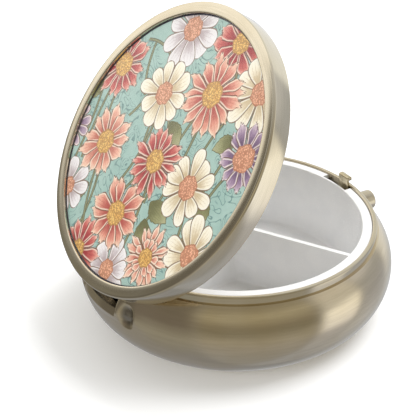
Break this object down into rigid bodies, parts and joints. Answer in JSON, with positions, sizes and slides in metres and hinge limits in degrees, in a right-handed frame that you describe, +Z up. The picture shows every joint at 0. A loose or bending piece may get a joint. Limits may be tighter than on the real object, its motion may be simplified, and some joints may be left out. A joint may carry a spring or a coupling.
{
  "type": "travel pill organizer",
  "caption": "Round metal pill box with a bulging base, a white divided tray, and a sprung hinged lid under a printed domed picture, opened by a push button.",
  "frame": {"origin": "centre of the flat underside of the base", "axes": "+Z up through the box, +Y towards the hinge, -Y towards the push button"},
  "size_m": [0.05, 0.0545, 0.05],
  "materials": {
    "metal_body": "satin antique bronze plating with fine horizontal brushing",
    "metal_trim": "satin antique bronze plating, smooth edges",
    "metal_lid": "satin antique bronze plating, circular brushing",
    "metal_hook": "bright bronze plating on bent strip",
    "metal_inside": "satin bronze plating inside the lid",
    "steel_hidden": "plain pressed steel",
    "spring_steel": "drawn spring wire",
    "tray_plastic": "white moulded plastic, lightly glossy",
    "print_card": "printed flower pattern on a mint ground",
    "clear_resin": "clear poured resin dome"
  },
  "bodies": {
    "base": {"base_shell": "metal_body", "neck_collar": "metal_trim", "pill_tray": "tray_plastic", "hinge_bracket": "steel_hidden", "hinge_pin": "steel_hidden", "torsion_spring": "spring_steel", "bracket_rivets": "steel_hidden", "button_bush": "steel_hidden", "latch_guide": "steel_hidden", "guide_rivets": "steel_hidden"},
    "button": {"push_button": "metal_trim", "latch_hook": "metal_hook", "stem_washer": "steel_hidden", "latch_spring": "spring_steel"},
    "lid": {"lid_ring": "metal_lid", "lid_backing_plate": "metal_inside", "picture_card": "print_card", "clear_dome": "clear_resin", "hinge_leaf": "metal_inside", "catch_plate": "metal_inside"}
  },
  "joints": [
    {"name": "lid_hinge", "type": "hinge", "parent": "base", "child": "lid", "pos_m": [0, 0.0206, 0.01085], "axis": [1, 0, 0], "range_deg": [0, 54.2], "stiffness_Nm_per_rad": 0.004, "springref_deg": -68.75},
    {"name": "button_press", "type": "slide", "parent": "base", "child": "button", "axis": [0, 1, 0], "range_m": [0, 0.00055], "stiffness_N_per_m": 600, "springref_m": -0.0006, "deforming": ["latch_spring"]}
  ]
}
